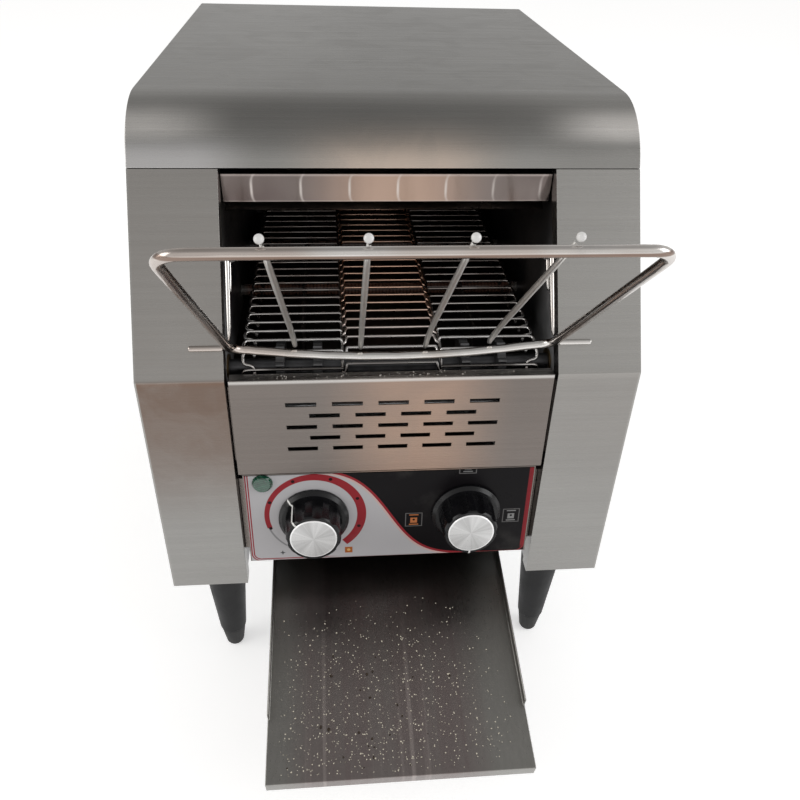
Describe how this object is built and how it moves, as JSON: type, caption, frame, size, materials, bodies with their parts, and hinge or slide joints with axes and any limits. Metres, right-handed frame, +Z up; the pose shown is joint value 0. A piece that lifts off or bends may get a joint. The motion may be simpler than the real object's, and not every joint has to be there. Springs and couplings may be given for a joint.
{
  "type": "conveyor toaster",
  "caption": "Counter-top conveyor toaster with a wire belt, sloped wire loading rack, slotted front, two control knobs, sliding toast tray and tapered legs.",
  "frame": {"origin": "on the bench, below the middle of the machine's outline with its tray pulled out", "axes": "X across the machine to the right as seen from the front, +Y to the back, +Z up"},
  "size_m": [0.2916, 0.5485, 0.387],
  "materials": {
    "case_steel": "brushed stainless sheet",
    "polished_steel": "bright polished stainless sheet",
    "galvanised": "plain zinc-coated sheet",
    "dark_wall": "matte black heat-stained sheet",
    "printed_film": "printed film in silver, black and red",
    "green_lens": "translucent green lens",
    "grey_plastic": "moulded heat-proof plastic",
    "black_plastic": "moulded black plastic",
    "knob_black": "glossy black moulding",
    "spun_cap": "spun bright aluminium",
    "quartz": "frosted quartz tube with its coil",
    "ceramic": "glazed ceramic",
    "belt_wire": "bright wire, darkened by heat",
    "bush_bronze": "sintered bronze",
    "shaft_steel": "bright turned steel",
    "wheel_iron": "oiled dark steel",
    "motor_paint": "grey painted housing",
    "rack_chrome": "chrome-plated wire",
    "white_caps": "white dipped ends",
    "leg_black": "moulded black leg",
    "foot_rubber": "black foot with its screw"
  },
  "bodies": {
    "chassis": {"hood": "case_steel", "side_cover_left": "case_steel", "side_cover_right": "case_steel", "inner_wall_left": "dark_wall", "inner_wall_right": "dark_wall", "base_plate": "galvanised", "back_panel": "case_steel", "cable_gland": "black_plastic", "header_strip": "polished_steel", "vent_panel": "case_steel", "control_panel": "case_steel", "control_overlay": "printed_film", "power_lamp": "green_lens", "control_shield": "galvanised", "speed_controller": "grey_plastic", "selector_switch": "grey_plastic", "upper_heaters": "quartz", "lower_heaters": "quartz", "heater_end_caps": "ceramic", "upper_reflector": "polished_steel", "lower_reflector": "galvanised", "conveyor_belt": "belt_wire", "shaft_bushes": "bush_bronze", "gear_motor": "motor_paint", "motor_bracket": "galvanised", "drive_chain": "wheel_iron", "return_chute": "polished_steel", "tray_rail_left": "galvanised", "tray_rail_right": "galvanised", "rack_studs": "shaft_steel", "terminal_block": "ceramic", "case_screws": "shaft_steel", "leg_front_left": "leg_black", "leg_front_right": "leg_black", "leg_rear_left": "leg_black", "leg_rear_right": "leg_black"},
    "drive_roller": {"drive_shaft": "shaft_steel", "drive_wheels": "wheel_iron", "shaft_sprocket": "wheel_iron"},
    "idler_roller": {"idler_shaft": "shaft_steel", "idler_wheels": "wheel_iron"},
    "motor_output": {"motor_shaft": "shaft_steel", "motor_sprocket": "wheel_iron"},
    "speed_control": {"speed_spindle": "shaft_steel", "speed_knob": "knob_black", "speed_knob_cap": "spun_cap"},
    "selector_control": {"selector_spindle": "shaft_steel", "selector_knob": "knob_black", "selector_knob_cap": "spun_cap"},
    "tray": {"toast_tray": "case_steel"},
    "loading_rack": {"rack_frame": "rack_chrome", "rack_ribs": "rack_chrome", "rack_rod": "rack_chrome", "rack_hooks": "rack_chrome", "rack_tips": "white_caps"},
    "foot_fl": {"foot_front_left": "foot_rubber"},
    "foot_fr": {"foot_front_right": "foot_rubber"},
    "foot_rl": {"foot_rear_left": "foot_rubber"},
    "foot_rr": {"foot_rear_right": "foot_rubber"}
  },
  "joints": [
    {"name": "drive_turn", "type": "hinge", "parent": "chassis", "child": "drive_roller", "pos_m": [0, 0.1903, 0.24954], "axis": [-1, 0, 0], "continuous": true, "deforming": ["conveyor_belt", "drive_chain"]},
    {"name": "idler_turn", "type": "hinge", "parent": "chassis", "child": "idler_roller", "pos_m": [0, -0.1217, 0.24954], "axis": [-1, 0, 0], "continuous": true},
    {"name": "motor_turn", "type": "hinge", "parent": "chassis", "child": "motor_output", "pos_m": [0, 0.10761, 0.18016], "axis": [-1, 0, 0], "continuous": true},
    {"name": "speed_turn", "type": "hinge", "parent": "chassis", "child": "speed_control", "pos_m": [-0.049, -0.1497, 0.15281], "axis": [0, 0.9974, -0.0724], "range_deg": [-90, 180]},
    {"name": "selector_turn", "type": "hinge", "parent": "chassis", "child": "selector_control", "pos_m": [0.049, -0.1497, 0.15281], "axis": [0, 0.9974, -0.0724], "range_deg": [0, 270]},
    {"name": "tray_slide", "type": "slide", "parent": "chassis", "child": "tray", "axis": [0, 0.9792, 0.2028], "range_m": [0, 0.12]},
    {"name": "rack_lift", "type": "slide", "parent": "chassis", "child": "loading_rack", "axis": [0, 0.5388, 0.8424], "range_m": [0, 0.035]},
    {"name": "level_fl", "type": "slide", "parent": "chassis", "child": "foot_fl", "axis": [0, 0, -1], "range_m": [0, 0.012]},
    {"name": "level_fr", "type": "slide", "parent": "chassis", "child": "foot_fr", "axis": [0, 0, -1], "range_m": [0, 0.012]},
    {"name": "level_rl", "type": "slide", "parent": "chassis", "child": "foot_rl", "axis": [0, 0, -1], "range_m": [0, 0.012]},
    {"name": "level_rr", "type": "slide", "parent": "chassis", "child": "foot_rr", "axis": [0, 0, -1], "range_m": [0, 0.012]}
  ],
  "couplings": [
    {"joint": "idler_turn", "follows": "drive_turn", "ratio": 1},
    {"joint": "motor_turn", "follows": "drive_turn", "ratio": 1}
  ]
}
